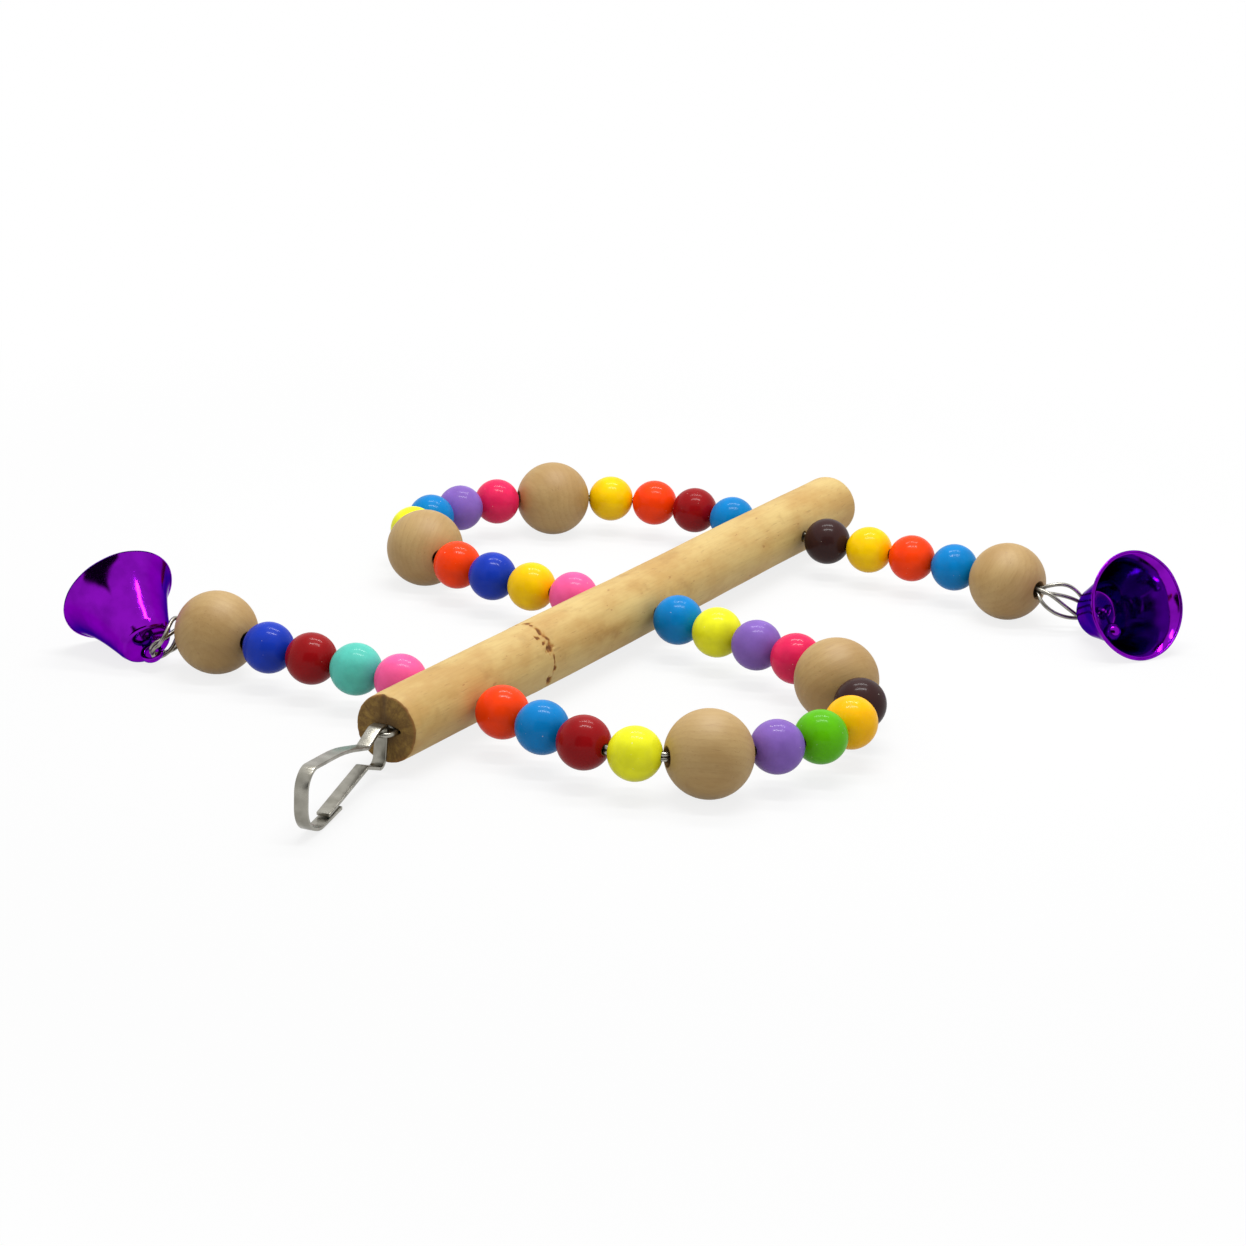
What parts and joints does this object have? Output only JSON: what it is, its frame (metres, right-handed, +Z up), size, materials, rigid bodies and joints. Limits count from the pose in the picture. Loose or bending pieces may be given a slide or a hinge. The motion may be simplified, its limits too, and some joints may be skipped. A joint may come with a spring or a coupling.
{
  "type": "bird perch toy",
  "caption": "Wooden dowel perch with a wired string of painted and plain beads looping through it, a bell at each end of the string and a spring snap hook on a screw eye.",
  "frame": {"origin": "middle of the floor of the bounding box, where the toy lies", "axes": "+Y along the dowel, away from the snap hook; +Z up; +X to the right when the hook end is nearest"},
  "size_m": [0.2168, 0.2584, 0.0251],
  "materials": {
    "perch_wood": "bare pale wood, lightly sanded",
    "nickel_plated_steel": "bright nickel plate",
    "plain_bead_wood": "bare pale wood, satin",
    "paint_dark_blue": "glossy opaque paint on wood",
    "paint_dark_red": "glossy opaque paint on wood",
    "paint_teal": "glossy opaque paint on wood",
    "paint_pink": "glossy opaque paint on wood",
    "paint_orange": "glossy opaque paint on wood",
    "paint_blue": "glossy opaque paint on wood",
    "paint_lemon": "glossy opaque paint on wood",
    "paint_purple": "glossy opaque paint on wood",
    "paint_green": "glossy opaque paint on wood",
    "paint_amber": "glossy opaque paint on wood",
    "paint_brown": "glossy opaque paint on wood",
    "paint_crimson": "glossy opaque paint on wood",
    "paint_yellow": "glossy opaque paint on wood",
    "purple_metal": "purple lacquer over polished metal",
    "bright_steel_wire": "drawn bright steel wire"
  },
  "bodies": {
    "perch": {"dowel_perch": "perch_wood", "screw_eye": "nickel_plated_steel", "wire_upper_strand": "bright_steel_wire", "wire_lower_strand": "bright_steel_wire"},
    "snap_hook": {"snap_hook_body": "nickel_plated_steel"},
    "snap_hook_gate": {"snap_hook_gate": "nickel_plated_steel"},
    "left_bell": {"left_bell": "purple_metal", "left_bell_hanger": "purple_metal"},
    "left_clapper": {"left_bell_clapper": "purple_metal"},
    "right_bell": {"right_bell": "purple_metal", "right_bell_hanger": "purple_metal"},
    "right_clapper": {"right_bell_clapper": "purple_metal"},
    "bead_01_plain_wood": {"bead_01_plain_wood": "plain_bead_wood"},
    "bead_02_darkBlue": {"bead_02_darkBlue": "paint_dark_blue"},
    "bead_03_darkRed": {"bead_03_darkRed": "paint_dark_red"},
    "bead_04_teal": {"bead_04_teal": "paint_teal"},
    "bead_05_pink": {"bead_05_pink": "paint_pink"},
    "bead_06_orange": {"bead_06_orange": "paint_orange"},
    "bead_07_blue": {"bead_07_blue": "paint_blue"},
    "bead_08_darkRed": {"bead_08_darkRed": "paint_dark_red"},
    "bead_09_lemon": {"bead_09_lemon": "paint_lemon"},
    "bead_10_plain_wood": {"bead_10_plain_wood": "plain_bead_wood"},
    "bead_11_purple": {"bead_11_purple": "paint_purple"},
    "bead_12_green": {"bead_12_green": "paint_green"},
    "bead_13_amber": {"bead_13_amber": "paint_amber"},
    "bead_14_brown": {"bead_14_brown": "paint_brown"},
    "bead_15_plain_wood": {"bead_15_plain_wood": "plain_bead_wood"},
    "bead_16_crimson": {"bead_16_crimson": "paint_crimson"},
    "bead_17_purple": {"bead_17_purple": "paint_purple"},
    "bead_18_lemon": {"bead_18_lemon": "paint_lemon"},
    "bead_19_blue": {"bead_19_blue": "paint_blue"},
    "bead_20_pink": {"bead_20_pink": "paint_pink"},
    "bead_21_yellow": {"bead_21_yellow": "paint_yellow"},
    "bead_22_darkBlue": {"bead_22_darkBlue": "paint_dark_blue"},
    "bead_23_orange": {"bead_23_orange": "paint_orange"},
    "bead_24_plain_wood": {"bead_24_plain_wood": "plain_bead_wood"},
    "bead_25_lemon": {"bead_25_lemon": "paint_lemon"},
    "bead_26_blue": {"bead_26_blue": "paint_blue"},
    "bead_27_purple": {"bead_27_purple": "paint_purple"},
    "bead_28_crimson": {"bead_28_crimson": "paint_crimson"},
    "bead_29_plain_wood": {"bead_29_plain_wood": "plain_bead_wood"},
    "bead_30_yellow": {"bead_30_yellow": "paint_yellow"},
    "bead_31_orange": {"bead_31_orange": "paint_orange"},
    "bead_32_darkRed": {"bead_32_darkRed": "paint_dark_red"},
    "bead_33_blue": {"bead_33_blue": "paint_blue"},
    "bead_34_brown": {"bead_34_brown": "paint_brown"},
    "bead_35_yellow": {"bead_35_yellow": "paint_yellow"},
    "bead_36_orange": {"bead_36_orange": "paint_orange"},
    "bead_37_blue": {"bead_37_blue": "paint_blue"},
    "bead_38_plain_wood": {"bead_38_plain_wood": "plain_bead_wood"}
  },
  "joints": [
    {"name": "snap_hook_swing", "type": "hinge", "parent": "perch", "child": "snap_hook", "pos_m": [-0.00332, -0.09077, 0.00981], "axis": [-0.981, -0.1942, 0], "range_deg": [-14, 106]},
    {"name": "snap_hook_gate_open", "type": "hinge", "parent": "snap_hook", "child": "snap_hook_gate", "pos_m": [-0.00304, -0.09222, 0.00324], "axis": [-0.981, -0.1942, 0], "range_deg": [0, 25], "stiffness_Nm_per_rad": 0.03, "springref_deg": -11.46},
    {"name": "left_bell_swing", "type": "hinge", "parent": "perch", "child": "left_bell", "pos_m": [-0.08342, -0.06706, 0.00415], "axis": [0.1259, -0.5656, 0.815], "range_deg": [-6, 160]},
    {"name": "right_bell_swing", "type": "hinge", "parent": "perch", "child": "right_bell", "pos_m": [0.08354, 0.09821, 0.00415], "axis": [0.0149, 0.6623, 0.7491], "range_deg": [-14, 170]},
    {"name": "left_clapper_swing", "type": "hinge", "parent": "left_bell", "child": "left_clapper", "pos_m": [-0.08938, -0.06407, 0.00714], "axis": [0.5646, 0.7164, 0.41], "range_deg": [0, 88]},
    {"name": "right_clapper_swing", "type": "hinge", "parent": "right_bell", "child": "right_clapper", "pos_m": [0.0892, 0.09471, 0.00714], "axis": [-0.6314, -0.5747, 0.5207], "range_deg": [0, 88]},
    {"name": "bead_01_spin", "type": "hinge", "parent": "perch", "child": "bead_01_plain_wood", "pos_m": [-0.07065, -0.0592, 0.00981], "axis": [-0.9951, 0.0993, 0], "continuous": true},
    {"name": "bead_02_spin", "type": "hinge", "parent": "perch", "child": "bead_02_darkBlue", "pos_m": [-0.05479, -0.06036, 0.00981], "axis": [-0.9996, 0.0297, 0], "continuous": true},
    {"name": "bead_03_spin", "type": "hinge", "parent": "perch", "child": "bead_03_darkRed", "pos_m": [-0.04269, -0.0604, 0.00981], "axis": [-0.9997, -0.0227, 0], "continuous": true},
    {"name": "bead_04_spin", "type": "hinge", "parent": "perch", "child": "bead_04_teal", "pos_m": [-0.0306, -0.06002, 0.00981], "axis": [-0.9992, -0.0401, 0], "continuous": true},
    {"name": "bead_05_spin", "type": "hinge", "parent": "perch", "child": "bead_05_pink", "pos_m": [-0.0185, -0.05985, 0.00981], "axis": [-0.9999, 0.0122, 0], "continuous": true},
    {"name": "bead_06_spin", "type": "hinge", "parent": "perch", "child": "bead_06_orange", "pos_m": [0.0106, -0.0631, 0.00981], "axis": [0.9812, -0.1928, 0], "continuous": true},
    {"name": "bead_07_spin", "type": "hinge", "parent": "perch", "child": "bead_07_blue", "pos_m": [0.02241, -0.06574, 0.00981], "axis": [0.9698, -0.2438, 0], "continuous": true},
    {"name": "bead_08_spin", "type": "hinge", "parent": "perch", "child": "bead_08_darkRed", "pos_m": [0.03428, -0.06808, 0.00981], "axis": [0.99, -0.1411, 0], "continuous": true},
    {"name": "bead_09_spin", "type": "hinge", "parent": "perch", "child": "bead_09_lemon", "pos_m": [0.04634, -0.06704, 0.00981], "axis": [0.9517, 0.3071, 0], "continuous": true},
    {"name": "bead_10_spin", "type": "hinge", "parent": "perch", "child": "bead_10_plain_wood", "pos_m": [0.05911, -0.05758, 0.00981], "axis": [0.6706, 0.7418, 0], "continuous": true},
    {"name": "bead_11_spin", "type": "hinge", "parent": "perch", "child": "bead_11_purple", "pos_m": [0.06889, -0.04504, 0.00981], "axis": [0.5167, 0.8561, 0], "continuous": true},
    {"name": "bead_12_spin", "type": "hinge", "parent": "perch", "child": "bead_12_green", "pos_m": [0.07383, -0.03399, 0.00981], "axis": [0.2943, 0.9557, 0], "continuous": true},
    {"name": "bead_13_spin", "type": "hinge", "parent": "perch", "child": "bead_13_amber", "pos_m": [0.07522, -0.02197, 0.00981], "axis": [-0.0678, 0.9977, 0], "continuous": true},
    {"name": "bead_14_spin", "type": "hinge", "parent": "perch", "child": "bead_14_brown", "pos_m": [0.07181, -0.01036, 0.00981], "axis": [-0.4831, 0.8756, 0], "continuous": true},
    {"name": "bead_15_spin", "type": "hinge", "parent": "perch", "child": "bead_15_plain_wood", "pos_m": [0.06044, 0.00075, 0.00981], "axis": [-0.8279, 0.5608, 0], "continuous": true},
    {"name": "bead_16_spin", "type": "hinge", "parent": "perch", "child": "bead_16_crimson", "pos_m": [0.0463, 0.00804, 0.00981], "axis": [-0.9607, 0.2775, 0], "continuous": true},
    {"name": "bead_17_spin", "type": "hinge", "parent": "perch", "child": "bead_17_purple", "pos_m": [0.03452, 0.01078, 0.00981], "axis": [-0.9845, 0.1756, 0], "continuous": true},
    {"name": "bead_18_spin", "type": "hinge", "parent": "perch", "child": "bead_18_lemon", "pos_m": [0.02265, 0.01311, 0.00981], "axis": [-0.9777, 0.2099, 0], "continuous": true},
    {"name": "bead_19_spin", "type": "hinge", "parent": "perch", "child": "bead_19_blue", "pos_m": [0.01075, 0.01534, 0.00981], "axis": [-0.9874, 0.1584, 0], "continuous": true},
    {"name": "bead_20_spin", "type": "hinge", "parent": "perch", "child": "bead_20_pink", "pos_m": [-0.01852, 0.01517, 0.00981], "axis": [-0.999, -0.0448, 0], "continuous": true},
    {"name": "bead_21_spin", "type": "hinge", "parent": "perch", "child": "bead_21_yellow", "pos_m": [-0.03062, 0.01515, 0.00981], "axis": [-0.9991, 0.0424, 0], "continuous": true},
    {"name": "bead_22_spin", "type": "hinge", "parent": "perch", "child": "bead_22_darkBlue", "pos_m": [-0.04268, 0.01609, 0.00981], "axis": [-0.9937, 0.112, 0], "continuous": true},
    {"name": "bead_23_spin", "type": "hinge", "parent": "perch", "child": "bead_23_orange", "pos_m": [-0.05458, 0.01828, 0.00981], "axis": [-0.9685, 0.2492, 0], "continuous": true},
    {"name": "bead_24_spin", "type": "hinge", "parent": "perch", "child": "bead_24_plain_wood", "pos_m": [-0.06892, 0.02515, 0.00981], "axis": [-0.844, 0.5363, 0], "continuous": true},
    {"name": "bead_25_spin", "type": "hinge", "parent": "perch", "child": "bead_25_lemon", "pos_m": [-0.08012, 0.03644, 0.00981], "axis": [-0.3999, 0.9166, 0], "continuous": true},
    {"name": "bead_26_spin", "type": "hinge", "parent": "perch", "child": "bead_26_blue", "pos_m": [-0.08254, 0.04829, 0.00981], "axis": [0.0075, 1, 0], "continuous": true},
    {"name": "bead_27_spin", "type": "hinge", "parent": "perch", "child": "bead_27_purple", "pos_m": [-0.08119, 0.06032, 0.00981], "axis": [0.2153, 0.9766, 0], "continuous": true},
    {"name": "bead_28_spin", "type": "hinge", "parent": "perch", "child": "bead_28_crimson", "pos_m": [-0.07677, 0.07158, 0.00981], "axis": [0.5065, 0.8622, 0], "continuous": true},
    {"name": "bead_29_spin", "type": "hinge", "parent": "perch", "child": "bead_29_plain_wood", "pos_m": [-0.06647, 0.0837, 0.00981], "axis": [0.7245, 0.6892, 0], "continuous": true},
    {"name": "bead_30_spin", "type": "hinge", "parent": "perch", "child": "bead_30_yellow", "pos_m": [-0.05398, 0.09354, 0.00981], "axis": [0.8698, 0.4935, 0], "continuous": true},
    {"name": "bead_31_spin", "type": "hinge", "parent": "perch", "child": "bead_31_orange", "pos_m": [-0.04262, 0.09769, 0.00981], "axis": [0.983, 0.1834, 0], "continuous": true},
    {"name": "bead_32_spin", "type": "hinge", "parent": "perch", "child": "bead_32_darkRed", "pos_m": [-0.03054, 0.09845, 0.00981], "axis": [0.9982, -0.0598, 0], "continuous": true},
    {"name": "bead_33_spin", "type": "hinge", "parent": "perch", "child": "bead_33_blue", "pos_m": [-0.01849, 0.09741, 0.00981], "axis": [0.9937, -0.112, 0], "continuous": true},
    {"name": "bead_34_spin", "type": "hinge", "parent": "perch", "child": "bead_34_brown", "pos_m": [0.01076, 0.09576, 0.00981], "axis": [1, 0.0099, 0], "continuous": true},
    {"name": "bead_35_spin", "type": "hinge", "parent": "perch", "child": "bead_35_yellow", "pos_m": [0.02285, 0.09598, 0.00981], "axis": [0.9996, 0.0274, 0], "continuous": true},
    {"name": "bead_36_spin", "type": "hinge", "parent": "perch", "child": "bead_36_orange", "pos_m": [0.03495, 0.09631, 0.00981], "axis": [0.9996, 0.0274, 0], "continuous": true},
    {"name": "bead_37_spin", "type": "hinge", "parent": "perch", "child": "bead_37_blue", "pos_m": [0.04705, 0.09623, 0.00981], "axis": [0.9991, -0.0424, 0], "continuous": true},
    {"name": "bead_38_spin", "type": "hinge", "parent": "perch", "child": "bead_38_plain_wood", "pos_m": [0.06279, 0.09401, 0.00981], "axis": [0.9802, -0.1982, 0], "continuous": true}
  ]
}
